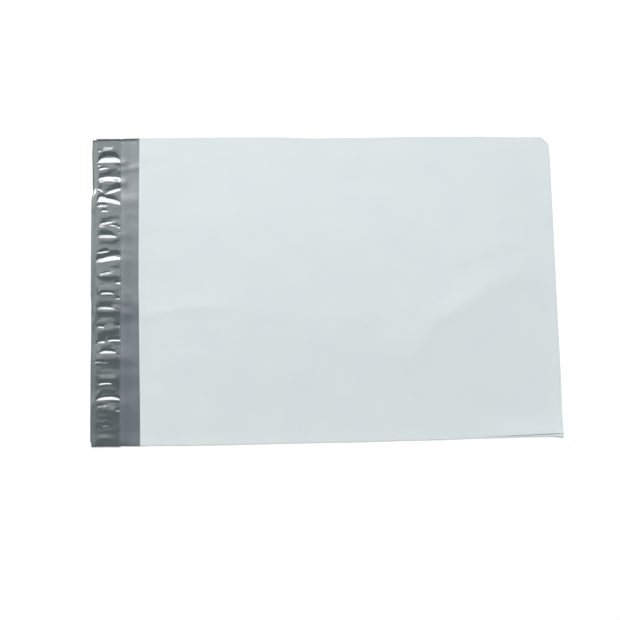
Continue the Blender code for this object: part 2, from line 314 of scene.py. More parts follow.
# How far each edge of the bag wanders off a straight line: places along it and the shifts there, in
# millimetres. Places are from the flap's outer edge or from the near side, and shifts are along +X or +Y.
FAR_EDGE = ((0.0, -1.6), (10.0, -1.6), (16.0, -1.5), (24.0, -1.4), (29.0, -0.9), (35.0, -0.75), (39.0, -0.35),
            (48.0, -0.35), (81.0, 0.05), (115.0, 0.1), (148.0, 0.2), (181.0, -0.9), (214.0, -0.6),
            (265.0, -0.05), (322.0, 0.1), (342.0, -0.5), (372.0, -0.65))
NEAR_EDGE = ((0.0, 0.4), (6.0, 0.5), (13.0, 0.4), (20.0, 0.25), (30.0, -0.1), (37.0, -0.2), (48.0, 0.0),
             (81.0, -0.5), (115.0, -0.65), (148.0, -0.5), (214.0, -0.6), (247.0, -0.45), (281.0, -0.35),
             (313.0, 0.1), (346.0, 0.2), (379.0, 0.15))
OUTER_EDGE = ((0.0, 0.9), (2.0, 0.9), (4.5, 0.1), (60.0, 0.15), (78.0, 0.45), (113.0, 0.45),
              (121.0, 0.0), (197.0, 0.0), (200.0, 0.3), (204.0, 1.3), (211.0, 0.8), (227.0, 0.6),
              (237.0, 0.4), (250.0, 0.7))
FOLD_EDGE = ((0.0, 0.0), (20.0, 0.1), (45.0, 0.5), (125.0, 0.45), (200.0, 0.6), (232.0, 0.6),
             (243.0, 0.1))
MOUTH_EDGE = ((0.0, 0.2), (36.0, 0.3), (68.0, 0.15), (108.0, 0.0), (128.0, -0.35), (195.0, -0.35),
              (244.0, -0.5))

# How far in from the long edges, the outer edge and the fold these shifts fade out, and how far
# from the fold the far corner's cut starts. The mouth's shifts fade out with its bow.
LONG_EDGE_REACH = 0.024
OUTER_EDGE_REACH = 0.003
FOLD_EDGE_REACH = 0.020
CUT_REACH = 0.020

# The outer margin of flap and liner stands back at its far end: by how much, how far before the
# adhesive and over what length that step comes, and how far in from the far edge it fades out
MARGIN_STEP = 0.0008
MARGIN_STEP_START = 0.0002
MARGIN_STEP_RUN = 0.0008
MARGIN_STEP_REACH = 0.012

# How finely the sheets and the stripe are meshed. The film is finer by the mouth, the fold and the
# welds, and has a row on each side of the liner's inner edge, where its rib starts.
MOUTH_STRETCH = 0.006
MOUTH_SPACING = 0.0010
FOLD_STRETCH = 0.012
FOLD_SPACING = 0.0012
FOLD_TURNS = 8
PANEL_SPACING = 0.0036
UNDER_LINER_SPACING = 0.0013
BESIDE_LINER_SPACING = 0.0012
RIB_FOOT = 0.00003
RIB_TOP = 0.00002
WELD_STRETCH = 0.006
WELD_SPACING = 0.0012
COLUMN_SPACING = 0.0018
LINER_MARGIN_SPACING = 0.0005
LINER_BAND_SPACING = 0.0004
LINER_ROW_SPACING = 0.00034
GLUE_ROW_SPACING = 0.0020
GLUE_COLUMN_SPACING = 0.0025

# The angle between two faces, in degrees, past which their edge stays sharp
FILM_SHARP = 40.0
LINER_SHARP = 55.0
GLUE_SHARP = 50.0

# The finishes: colours as a darker and a lighter tone, and the lowest and highest roughness
FILM_TONES = ((0.632, 0.696, 0.714), (0.654, 0.712, 0.727))
FILM_ROUGHNESS = (0.50, 0.58)
LINING_TONES = ((0.098, 0.130, 0.148), (0.107, 0.140, 0.158))
LINING_ROUGHNESS = (0.29, 0.32)
GLUE_TONES = ((0.085, 0.100, 0.100), (0.110, 0.125, 0.122))
GLUE_ROUGHNESS = (0.14, 0.26)
LINER_DRY_TONES = ((0.148, 0.195, 0.196), (0.164, 0.212, 0.210))
LINER_WET_TONES = ((0.104, 0.138, 0.146), (0.120, 0.156, 0.163))
# Painted light: a lighter tone along the liner's inner edge that lifts the shade of the gap under it
LINER_PAINTED_LIGHT_TONES = ((0.160, 0.196, 0.206), (0.176, 0.214, 0.223))
LINER_ROUGHNESS = (0.09, 0.16)
LINER_ALPHA = 0.75

# Which of the film's materials its lining is
LINING_SLOT = 1

# Where the liner's colour changes: how far to each side of the adhesive's edge, and from how far to
# how far before its own inner edge it is painted lighter, painted light that lifts the shade there
WET_BLEND = 0.0003
PAINTED_LIGHT_START = 0.0013
PAINTED_LIGHT_END = 0.0004

# Most values of a noise pattern lie between these two
NOISE_LOW = 0.3
NOISE_HIGH = 0.7

# The floor: its size, how far it lies under the bag, its paper, the glow that camera and shine see
# in it, and the distances between which it runs out to the background
FLOOR_SIDES = 96
FLOOR_RADIUS = 8.0
FLOOR_DROP = 0.0001
PAPER = 0.97
PAPER_ROUGHNESS = 0.9
FLOOR_LIFT = 0.10
FLOOR_FADE = (0.26, 0.60)

# The room: its strength at the top, and between which heights its white walls fade to that, as the
# sine of the angle over level
WORLD_TOP = 0.12
WORLD_FADE = (0.16, 0.40)

# The lamps, with angles in degrees and tilts from straight up. The soft light is a stack of boxes
# that share their lower edge: for each of them the tilt of its upper edge, and its radiance.
LIGHT_DISTANCE = 7.0
KEY_TILT = 41.0
KEY_HEADING = 103.0
KEY_SPAN = 26.0
KEY_RADIANCE = 9.0
SOFT_LIGHT_HEADING = 101.0
SOFT_LIGHT_SPAN = 72.0
SOFT_LIGHT_FOOT = 48.0
SOFT_LIGHT = ((1.0, 0.42), (5.0, 0.42), (8.0, 0.56), (11.5, 0.38), (15.0, 0.1))

# The camera: its place, its right and its up, and its sensor and lens in millimetres
CAMERA_PLACE = (-0.0560, -0.1028, 0.7401)
CAMERA_RIGHT = (0.9983, -0.0204, 0.0545)
CAMERA_UP = (0.0141, 0.9935, 0.1133)
SENSOR_WIDTH = 36.0
LENS_LENGTH = 53.43


def smooth(share):
    """Runs from 0 to 1 as share does, level at both ends."""
    share = np.clip(share, 0.0, 1.0)
    return share * share * (3.0 - 2.0 * share)


def spread(first, last, spacing):
    """Evenly spaced values from first to last, both of them included, about spacing apart."""
    steps = max(1, round(abs(last - first) / spacing))
    return [first + (last - first) * k / steps for k in range(steps + 1)]


def soft_noise(x, y, lump_x, lump_y, seed):
    """Soft noise from -1 to 1 over a grid of places, with lumps of the given size along x and y."""
    flat = [noise.noise(Vector((a / lump_x, b / lump_y, seed))) for a, b in zip(x.flat, y.flat)]
    return np.array(flat).reshape(x.shape)


def off_line(from_x, from_y, run):
    """Distance from a straight line, for places measured from its start. run leads to its end."""
    share = np.clip((from_x * run[0] + from_y * run[1]) / (run @ run), 0.0, 1.0)
    return np.hypot(from_x - share * run[0], from_y - share * run[1])


def ridge(x, y, start, end, half_width):
    """1 along the line from start to end, fading out round it."""
    off = off_line(x - start[0], y - start[1], np.subtract(end, start))
    return np.exp(-((off / half_width) ** 2))


def wander(table, place):
    """The shift or height that a table gives for each place along an edge, in metres."""
    along, shifts = np.array(table).T * MM
    k = np.clip(np.searchsorted(along, place) - 1, 0, len(along) - 2)
    share = smooth((place - along[k]) / (along[k + 1] - along[k]))
    return shifts[k] + (shifts[k + 1] - shifts[k]) * share


def weld_rise(x):
    """Height of the front panel over the back one at the welds, which grows towards the fold."""
    return WELD_RISE + FOLD_OPENING * smooth(1.0 - (FOLD - x) / FOLD_REACH)


def swell(x, y):
    """Height that the creases and swells add to the front panel."""
    height = np.zeros_like(x)
    for start_x, start_y, end_x, end_y, reach, crest, softness in CREASES:
        run = np.array((end_x - start_x, end_y - start_y)) * MM
        off = off_line(x - FLAP_EDGE - start_x * MM, y + HALF_WIDTH - start_y * MM, run)
        off = np.sqrt(off * off + (softness * MM) ** 2)
        height = np.maximum(height, crest * MM * np.exp(-off / (reach * MM)))
    return height


def rise(x, y):
    """Height of the front panel's middle surface over the back panel's."""
    inside = HALF_WIDTH - WELD_WIDTH - np.abs(y)
    dome = smooth(inside / SHOULDER_ACROSS) * smooth((FOLD - x) / SHOULDER_ALONG)
    loft = MOUTH_OPENING + (LOFT - MOUTH_OPENING) * smooth((x - MOUTH) / SHOULDER_ALONG)
    free = smooth(inside / FREE_REACH) * smooth((FOLD - x) / FREE_REACH)
    near_mouth = smooth(1.0 - (x - MOUTH) / WRINKLE_REACH)
    wrinkles = WRINKLE_HEIGHT * near_mouth * soft_noise(x, y, *WRINKLE_LUMPS)
    uneven = PANEL_WAVE_HEIGHT * soft_noise(x, y, *PANEL_LUMPS) + wrinkles
    lip = MOUTH_LIP * smooth(1.0 - (x - MOUTH) / MOUTH_LIP_REACH)
    by_weld = smooth(1.0 - np.abs(inside) / WELD_PUCKER_REACH)
    puckers = WELD_PUCKER_HEIGHT * by_weld * soft_noise(x, y, *WELD_LUMPS)
    return weld_rise(x) + dome * (loft + lip) + free * (swell(x, y) + uneven + FREE_GAP) + puckers


def near_lift(x, y):
    """How far the bag's near edge has come up off the surface that it lies on."""
    near = smooth(1.0 - (y + HALF_WIDTH) / NEAR_LIFT_REACH)
    at_corner = smooth(1.0 - np.hypot(x - BAG_END, y + HALF_WIDTH) / CORNER_REACH)
    return NEAR_LIFT * near + CORNER_LIFT * at_corner


def waves(x, y, table):
    """Height of the soft waves in a table."""
    height = np.zeros_like(x)
    for start_x, start_y, end_x, end_y, half_width, crest in table:
        start = (FLAP_EDGE + start_x * MM, start_y * MM - HALF_WIDTH)
        end = (FLAP_EDGE + end_x * MM, end_y * MM - HALF_WIDTH)
        height = height + crest * MM * ridge(x, y, start, end, half_width * MM)
    return height


def flap_lift(x, y):
    """How far the flap stands off the surface that it lies on. It fades out inside the pocket."""
    inside = smooth((HALF_WIDTH - WELD_WIDTH - np.abs(y)) / FLAP_SHOULDER)
    reach = inside + (1.0 - inside) * smooth((MOUTH - x) / FLAP_STOP)
    reach = reach * smooth((MOUTH + FLAP_INTO_POCKET - x) / FLAP_INTO_POCKET)
    fine = FLAP_WAVE_HEIGHT * soft_noise(x, y, *FLAP_LUMPS)
    height = FLAP_REST_HEIGHT + fine + waves(x, y, FLAP_WAVES)
    by_mouth = SHARE_AT_MOUTH + (1.0 - SHARE_AT_MOUTH) * smooth((MOUTH - x) / SETTLE_REACH)
    height = height + wander(FLAP_HEIGHTS, y + HALF_WIDTH) * by_mouth
    far_lip = smooth((y - HALF_WIDTH) / LIP_WIDTH + 1.0)
    lip = LIP_HEIGHT * far_lip * smooth((MOUTH - x) / FLAP_STOP)
    by_near_end = SHARE_AT_NEAR_END + (1.0 - SHARE_AT_NEAR_END) * near_drop(y + HALF_WIDTH)
    return height * by_near_end * reach + lip


def flap_rib(x, y):
    """Height of the rib that the flap forms just beside the liner's inner edge."""
    beside = smooth(1.0 - (x - LINER_HIGH[0]) / RIB_REACH) * (x > LINER_HIGH[0])
    uneven = 1.0 + RIB_UNEVEN * soft_noise(x, y, *RIB_LUMPS)
    return RIB_HEIGHT * beside * uneven * near_drop(y + HALF_WIDTH)


def near_drop(off):
    """Runs from 0 at the near end to 1 inside it, steepest at the end."""
    return 1.0 - np.clip(1.0 - off / END_REACH, 0.0, 1.0) ** END_POWER


def valley_depth(x, y):
    """How deep the liner's valleys are at each place, in metres. The wall that faces the far side is
    nearly straight where it is steep, and rounded where it isn't. The other one is steepest at the
    bottom and runs out level, and wanders a little."""
    across = (x - FLAP_EDGE) / MM
    along = (y + HALF_WIDTH) / MM
    uneven = 1.0 + VALLEY_UNEVEN * soft_noise(x, y, *VALLEY_LUMPS)
    deepest = np.zeros_like(x)
    for start, end, rim_start, rim_end, arch, lit_width, dark_width, depth in VALLEYS:
        share = (across - start) / (end - start)
        off_middle = np.clip(np.abs(2.0 * share - 1.0), 0.0, 1.0)
        outline = (1.0 - off_middle**OUTLINE_MIDDLE) ** OUTLINE_ENDS
        rim = rim_start + (rim_end - rim_start) * share + arch * (1.0 - off_middle**2)
        wall = lit_width * np.maximum(outline, OUTLINE_LEAST)
        beyond = along - (rim + wall)
        lit = np.clip(1.0 + beyond / wall, 0.0, 1.0)
        straight = STRAIGHT_SHARE if depth / lit_width > STEEP_WALL else 0.0
        lit = straight * lit + (1.0 - straight) * smooth(lit)
        dark = np.clip(1.0 - beyond / (DARK_RUN * dark_width * uneven), 0.0, 1.0) ** DARK_POWER
        deepest = np.maximum(deepest, depth * outline * np.where(beyond < 0.0, lit, dark))
    return deepest * MM


def liner_height(x, y):
    """Height of the liner's middle surface."""
    into_band = x - BAND_START
    free_share = np.clip(-into_band / (BAND_START - LINER_LOW[0]), 0.0, 1.0)
    lift = MARGIN_LIFT + (MARGIN_END_LIFT - MARGIN_LIFT) * free_share**MARGIN_POWER
    lift = lift + smooth(free_share) * wander(MARGIN_HEIGHTS, y + HALF_WIDTH)
    pillow = PILLOW_HEIGHT * smooth(into_band / PILLOW_RISE)
    pillow += PILLOW_SWAY * smooth(into_band / SWAY_RISE) * soft_noise(x, y, *PILLOW_LUMPS)
    pillow += waves(x, y, LINER_WAVES) * smooth(into_band / WAVE_RISE)
    streaks = STREAK_HEIGHT * smooth(into_band / STREAK_RISE) * soft_noise(x, y, *STREAK_LUMPS)
    by_edge = 1.0 - (1.0 - INNER_EDGE_SHARE) * smooth((x - LINER_HIGH[0]) / INNER_EDGE_REACH + 1.0)
    height = (lift + pillow) * by_edge - valley_depth(x, y) * (0.5 + 0.5 * by_edge)
    height = height * near_drop(y - LINER_NEAR_END) + streaks
    return LINER_BOTTOM + LINER_THICKNESS / 2 + np.maximum(height, 0.0) + curl(x, y)


def curl(x, y):
    """Height of the spot where the liner's free margin has come up: a ramp that faces the far side."""
    off_edge = np.clip((x - FLAP_EDGE) / CURL_REACH, 0.0, 1.0)
    ramp = np.clip((CURL_END - y) / (CURL_END - CURL_START), 0.0, 1.0)
    back = np.clip((y - CURL_START) / CURL_BACK + 1.0, 0.0, 1.0)
    return CURL_HEIGHT * (1.0 - off_edge) * smooth(ramp) * smooth(back)


def pocket_stations():
    """Places along the pocket from the mouth to the fold, shared by both panels."""
    mouth_end = spread(MOUTH, MOUTH + MOUTH_STRETCH, MOUTH_SPACING)
    fold_end = spread(FOLD - FOLD_STRETCH, FOLD, FOLD_SPACING)
    middle = spread(mouth_end[-1], fold_end[0], PANEL_SPACING)
    return mouth_end[:-1] + middle + fold_end[1:]


def film_columns():
    """Places across the film, with lines along the outer and the inner edge of each weld."""
    weld = [HALF_WIDTH, HALF_WIDTH - TRIM, HALF_WIDTH - WELD_WIDTH]
    beside = spread(weld[-1] - SEAM_STEP, weld[-1] - SEAM_STEP - WELD_STRETCH, WELD_SPACING)
    half = weld + beside[:-1]
    middle = spread(-beside[-1], beside[-1], COLUMN_SPACING)
    return [-y for y in half] + middle + half[::-1]


def outline_shift(x, y):
    """How far the bag's outline wanders off a true rectangle, in x and in y."""
    along = x - FLAP_EDGE
    across = y + HALF_WIDTH
    far = smooth((y - HALF_WIDTH) / LONG_EDGE_REACH + 1.0)
    near = smooth(-(y + HALF_WIDTH) / LONG_EDGE_REACH + 1.0)
    by_fold = smooth((x - FOLD) / FOLD_EDGE_REACH + 1.0)
    by_outer_edge = smooth((FLAP_EDGE + OUTER_EDGE_REACH - x) / OUTER_EDGE_REACH)
    corner = np.maximum(y - (HALF_WIDTH - CORNER_CUT), 0.0)
    cut = -corner * np.clip((x - (FOLD - CUT_REACH)) / CUT_REACH, 0.0, 1.0)
    shift_x = cut + by_fold * wander(FOLD_EDGE, across) + by_outer_edge * wander(OUTER_EDGE, across)
    in_margin = smooth((BAND_START - MARGIN_STEP_START - x) / MARGIN_STEP_RUN)
    step = MARGIN_STEP * in_margin * smooth((y - HALF_WIDTH) / MARGIN_STEP_REACH + 1.0)
    return shift_x, far * wander(FAR_EDGE, along) + near * wander(NEAR_EDGE, along) - step


def seam_place(x, across):
    """Places across the film, moved by the near seam so that its strip has its width at x, and how far
    the front panel stands up beside it."""
    share = np.clip((x - SEAM_START) / (FOLD - SEAM_START), 0.0, 1.0)
    into = smooth((x - SEAM_START) / SEAM_BLEND + 1.0)
    width = WELD_WIDTH + into * (SEAM_NARROW + (SEAM_WIDE - SEAM_NARROW) * share - WELD_WIDTH)
    off = across + HALF_WIDTH
    squeezed = off * width / WELD_WIDTH
    beyond = SEAM_REACH - (SEAM_REACH - off) * (SEAM_REACH - width) / (SEAM_REACH - WELD_WIDTH)
    moved = np.where(off < WELD_WIDTH, squeezed, np.where(off < SEAM_REACH, beyond, off))
    past = moved - width
    up = smooth(share / 0.5) * smooth(past / SEAM_STEP) * smooth(1.0 - past / SEAM_REACH)
    return moved - HALF_WIDTH, SEAM_RISE * up


def film_sheets():
    """The film's outer and inner surfaces as grids of points: one row for each place along it. Then
    the row of the mouth, and how many rows each panel of the pocket has."""
    pocket = pocket_stations()
    flap = spread(FLAP_EDGE, LINER_HIGH[0] - RIB_FOOT, UNDER_LINER_SPACING)
    flap += spread(LINER_HIGH[0] + RIB_TOP, MOUTH, BESIDE_LINER_SPACING)
    turns = [math.pi * k / FOLD_TURNS for k in range(1, FOLD_TURNS)]
    columns = np.array(film_columns())
    half = FILM_THICKNESS / 2

    def grid(places):
        return np.meshgrid(np.array(places), columns, indexing="ij")

    back_x, back_y = grid(flap[:-1] + pocket)
    back_z = half + flap_lift(back_x, back_y) + flap_rib(back_x, back_y) + near_lift(back_x, back_y)
    fold_turn, fold_y = grid(turns)
    fold_x = FOLD + FOLD_RADIUS * np.sin(fold_turn)
    fold_z = half + FOLD_RADIUS * (1.0 - np.cos(fold_turn)) + near_lift(fold_x, fold_y)
    front_x, front_y = grid(pocket[::-1])
    front_z = half + rise(front_x, front_y) + near_lift(front_x, front_y)
    bow = MOUTH_BOW * (1.0 - (front_y / HALF_WIDTH) ** 2) - wander(MOUTH_EDGE, front_y + HALF_WIDTH)
    bow *= smooth(1.0 - (front_x - MOUTH) / BOW_REACH)
    along = np.vstack([back_x, fold_x, front_x])
    across = np.vstack([back_y, fold_y, front_y])
    height = np.vstack([back_z, fold_z, front_z])
    out_x = np.vstack([np.zeros_like(back_x), np.sin(fold_turn), np.zeros_like(front_x)])
    out_z = np.vstack([-np.ones_like(back_x), -np.cos(fold_turn), np.ones_like(front_x)])
    across, seam_up = seam_place(along, across)
    seam_up[:len(back_x)] = 0.0
    seam_up[len(back_x):-len(pocket)] *= (1.0 - np.cos(fold_turn)) / 2
    shift_x, shift_y = outline_shift(along, across)
    along = along + shift_x
    along[-len(pocket):] -= bow
    across = across + shift_y
    height = height + seam_up
    outer = np.stack([along + half * out_x, across, height + half * out_z], axis=-1)
    inner = np.stack([along - half * out_x, across, height - half * out_z], axis=-1)
    return outer, inner, len(flap) - 1, len(pocket)


def film_mesh():
    """The film as one closed wall. Its two panels are joined along the welds, and their trimmed edges
    outside the welds and the mouth are open."""
    outer_points, inner_points, mouth_row, pocket_rows = film_sheets()
    rows, columns = outer_points.shape[:2]
    last = rows - 1
    welds = ((1, 2), (columns - 3, columns - 2))
    weld_columns = [c for weld in welds for c in weld]
    fold_row = mouth_row + pocket_rows - 1
    front_fold_row = rows - pocket_rows
    form = bmesh.new()
    outer = [[form.verts.new(p) for p in row] for row in outer_points]
    inner = [[None] * columns for _ in range(rows)]
    for c in weld_columns:
        for k in range(pocket_rows):
            back = mouth_row + k
            front = last - k
            middle = (inner_points[back][c] + inner_points[front][c]) / 2
            inner[back][c] = inner[front][c] = form.verts.new(middle)
    for r in range(rows):
        for c in range(columns):
            if inner[r][c] is None:
                inner[r][c] = form.verts.new(inner_points[r][c])
    lining = []
    for r in range(last):
        for c in range(columns - 1):
            form.faces.new((outer[r][c], outer[r][c + 1], outer[r + 1][c + 1], outer[r + 1][c]))
            if r < mouth_row or (c, c + 1) not in welds:
                corners = inner[r][c], inner[r + 1][c], inner[r + 1][c + 1], inner[r][c + 1]
                lining.append(form.faces.new(corners))
        for c in (0, columns - 1):
            form.faces.new((outer[r][c], outer[r + 1][c], inner[r + 1][c], inner[r][c]))
    for c in weld_columns:
        form.faces.new([inner[r][c] for r in range(fold_row, front_fold_row)])
    for c in range(columns - 1):
        for r in (0, last):
            form.faces.new((outer[r][c], outer[r][c + 1], inner[r][c + 1], inner[r][c]))
    for part in lining:
        part.material_index = LINING_SLOT
    bmesh.ops.recalc_face_normals(form, faces=form.faces)
    bmesh.ops.triangulate(form, faces=[part for part in form.faces if len(part.verts) > 4])
    return form


def finished(form, name, materials, sharp_angle):
    """An object with its origin at the frame's, from a finished form."""
    mesh = bpy.data.meshes.new(name)
    form.to_mesh(mesh)
    form.free()
    thing = bpy.data.objects.new(name, mesh)
    bpy.context.scene.collection.objects.link(thing)
    for finish in materials:
        mesh.materials.append(finish)
    bpy.ops.object.select_all(action="DESELECT")
    thing.select_set(True)
    bpy.context.view_layer.objects.active = thing
    bpy.ops.object.shade_smooth_by_angle(angle=math.radians(sharp_angle))
    return thing


def liner_mesh():
    """The liner as a fine sheet, before it gets its thickness."""
    margin = spread(LINER_LOW[0], BAND_START, LINER_MARGIN_SPACING)
    band = spread(BAND_START, LINER_HIGH[0], LINER_BAND_SPACING)
    places = margin[:-1] + band
    along = spread(LINER_NEAR_END, LINER_HIGH[1], LINER_ROW_SPACING)
    x, y = np.meshgrid(np.array(places), np.array(along), indexing="ij")
    z = liner_height(x, y) + flap_lift(x, y) + near_lift(x, y)
    shift_x, shift_y = outline_shift(x, y)
    form = bmesh.new()
    points = np.stack([x + shift_x, y + shift_y, z], axis=-1)
    verts = [[form.verts.new(p) for p in row] for row in points]
    for r in range(len(verts) - 1):
        for c in range(len(along) - 1):
            form.faces.new((verts[r][c], verts[r + 1][c], verts[r + 1][c + 1], verts[r][c + 1]))
    return form


def node_material(name, roughness, ior):
    """A new material, its tree and its Principled shader. A pattern that is linked to the roughness
    later takes the place of the plain one."""
    made = bpy.data.materials.new(name)
    made.use_nodes = True
    tree = made.node_tree
    shader = tree.nodes["Principled BSDF"]
    shader.inputs["Roughness"].default_value = roughness
    shader.inputs["IOR"].default_value = ior
    return made, tree, shader


def pattern(tree, scale, stretch=(1.0, 1.0, 1.0), detail=2.0):
    """Noise on the piece's own coordinates, drawn out along its axes."""
    place = tree.nodes.new("ShaderNodeTexCoord")
    stretched = tree.nodes.new("ShaderNodeMapping")
    stretched.inputs["Scale"].default_value = stretch
    grain = tree.nodes.new("ShaderNodeTexNoise")
    grain.inputs["Scale"].default_value = scale
    grain.inputs["Detail"].default_value = detail
    tree.links.new(place.outputs["Object"], stretched.inputs["Vector"])
    tree.links.new(stretched.outputs["Vector"], grain.inputs["Vector"])
    return grain.outputs["Fac"]


def two_tones(tree, value, dark, light):
    """A colour that runs from dark to light with a pattern."""
    ramp = tree.nodes.new("ShaderNodeValToRGB")
    ramp.color_ramp.elements[0].position = NOISE_LOW
    ramp.color_ramp.elements[1].position = NOISE_HIGH
    ramp.color_ramp.elements[0].color = (*dark, 1.0)
    ramp.color_ramp.elements[1].color = (*light, 1.0)
    tree.links.new(value, ramp.inputs["Fac"])
    return ramp.outputs["Color"]


def blended(tree, share, first, second):
    """A colour that runs from the first to the second as share does from 0 to 1."""
    mix = tree.nodes.new("ShaderNodeMix")
    mix.data_type = "RGBA"
    tree.links.new(share, mix.inputs["Factor"])
    tree.links.new(first, mix.inputs["A"])
    tree.links.new(second, mix.inputs["B"])
    return mix.outputs["Result"]


def tinted(tree, shader, value, dark, light):
    """Gives the shader a colour that runs from dark to light with a pattern."""
    tree.links.new(two_tones(tree, value, dark, light), shader.inputs["Base Color"])


def faded(tree, value, low, high, at_low=0.0, at_high=1.0):
    """Runs from at_low to at_high as value does from low to high, level at both ends."""
    span = tree.nodes.new("ShaderNodeMapRange")
    span.interpolation_type = "SMOOTHSTEP"
    span.inputs["From Min"].default_value = low
    span.inputs["From Max"].default_value = high
    span.inputs["To Min"].default_value = at_low
    span.inputs["To Max"].default_value = at_high
    tree.links.new(value, span.inputs["Value"])
    return span.outputs["Result"]


def along_x(tree, low, high):
    """A value that runs from 0 to 1 between two places along the bag."""
    place = tree.nodes.new("ShaderNodeTexCoord")
    split = tree.nodes.new("ShaderNodeSeparateXYZ")
    tree.links.new(place.outputs["Object"], split.inputs["Vector"])
    return faded(tree, split.outputs["X"], low, high)


def combined(tree, operation, first, second):
    """Two values brought together. The second may be a plain number."""
    both = tree.nodes.new("ShaderNodeMath")
    both.operation = operation
    tree.links.new(first, both.inputs[0])
    if isinstance(second, float):
        both.inputs[1].default_value = second
    else:
        tree.links.new(second, both.inputs[1])
    return both.outputs["Value"]


def ranged(tree, value, low, high):
    """A pattern's value, brought between low and high."""
    span = tree.nodes.new("ShaderNodeMapRange")
    span.inputs["From Min"].default_value = NOISE_LOW
    span.inputs["From Max"].default_value = NOISE_HIGH
    span.inputs["To Min"].default_value = low
    span.inputs["To Max"].default_value = high
    tree.links.new(value, span.inputs["Value"])
    return span.outputs["Result"]


def raised(tree, shader, value, height, under=None):
    """Bump from a pattern, height metres from its low to its high, over an earlier bump."""
    bump = tree.nodes.new("ShaderNodeBump")
    bump.inputs["Strength"].default_value = 1.0
    bump.inputs["Distance"].default_value = height
    tree.links.new(value, bump.inputs["Height"])
    if under is not None:
        tree.links.new(under, bump.inputs["Normal"])
    tree.links.new(bump.outputs["Normal"], shader.inputs["Normal"])
    return bump.outputs["Normal"]


def white_film():
    """The outside of the film: satin white with faint extrusion lines along the bag."""
    made, tree, shader = node_material("white_film", roughness=0.52, ior=1.5)
    tinted(tree, shader, pattern(tree, scale=26.0), *FILM_TONES)
    blotch = pattern(tree, scale=140.0, detail=3.0)
    tree.links.new(ranged(tree, blotch, *FILM_ROUGHNESS), shader.inputs["Roughness"])
    lines = pattern(tree, scale=900.0, stretch=(0.03, 1.0, 1.0))
    lined = raised(tree, shader, lines, height=0.000004)
    raised(tree, shader, pattern(tree, scale=1500.0), height=0.000005, under=lined)
    return made


def grey_lining():
    """The inside of the film: smooth grey with a soft shine."""
    made, tree, shader = node_material("grey_lining", roughness=0.26, ior=1.58)
    shader.inputs["Specular IOR Level"].default_value = 1.0
    tinted(tree, shader, pattern(tree, scale=60.0), *LINING_TONES)
    blotch = pattern(tree, scale=90.0)
    tree.links.new(ranged(tree, blotch, *LINING_ROUGHNESS), shader.inputs["Roughness"])
    lines = pattern(tree, scale=500.0, stretch=(0.05, 1.0, 1.0))
    raised(tree, shader, lines, height=0.000004)
    return made


def clear_adhesive():
    """Hot-melt adhesive: clear, wet and a little uneven."""
    made, tree, shader = node_material("clear_adhesive", roughness=0.18, ior=1.5)
    tinted(tree, shader, pattern(tree, scale=320.0), *GLUE_TONES)
    blotch = pattern(tree, scale=500.0)
    tree.links.new(ranged(tree, blotch, *GLUE_ROUGHNESS), shader.inputs["Roughness"])
    raised(tree, shader, pattern(tree, scale=380.0, detail=3.0), height=0.00003)
    return made


def clear_liner():
    """The liner: thin clear plastic with a hard shine, darker where the adhesive wets it, and painted
    lighter along its inner edge, painted light that lifts the shade of the gap under that edge."""
    made, tree, shader = node_material("clear_liner", roughness=0.12, ior=1.6)
    shader.inputs["Specular IOR Level"].default_value = 1.0
    shader.inputs["Alpha"].default_value = LINER_ALPHA
    grain = pattern(tree, scale=240.0)
    wet = two_tones(tree, grain, *LINER_WET_TONES)
    dry = two_tones(tree, grain, *LINER_DRY_TONES)
    # Painted light: the lighter tone near the inner edge lifts the shade that falls by the gap under it
    edge = two_tones(tree, grain, *LINER_PAINTED_LIGHT_TONES)
    painted_light_share = along_x(tree, LINER_HIGH[0] - PAINTED_LIGHT_START, LINER_HIGH[0] - PAINTED_LIGHT_END)
    stuck = blended(tree, painted_light_share, wet, edge)
    on_band = along_x(tree, BAND_START - WET_BLEND, BAND_START + WET_BLEND)
    tree.links.new(blended(tree, on_band, dry, stuck), shader.inputs["Base Color"])
    blotch = pattern(tree, scale=420.0)
    tree.links.new(ranged(tree, blotch, *LINER_ROUGHNESS), shader.inputs["Roughness"])
    lines = pattern(tree, scale=900.0, stretch=(0.35, 1.0, 1.0), detail=3.0)
    raised(tree, shader, lines, height=0.000010)
    return made


def dress_film():
    """The whole film in place of its plain solid."""
    film = finished(film_mesh(), "film", [white_film(), grey_lining()], FILM_SHARP)
    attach(film, "root")
    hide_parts("mailer_film")
    return film


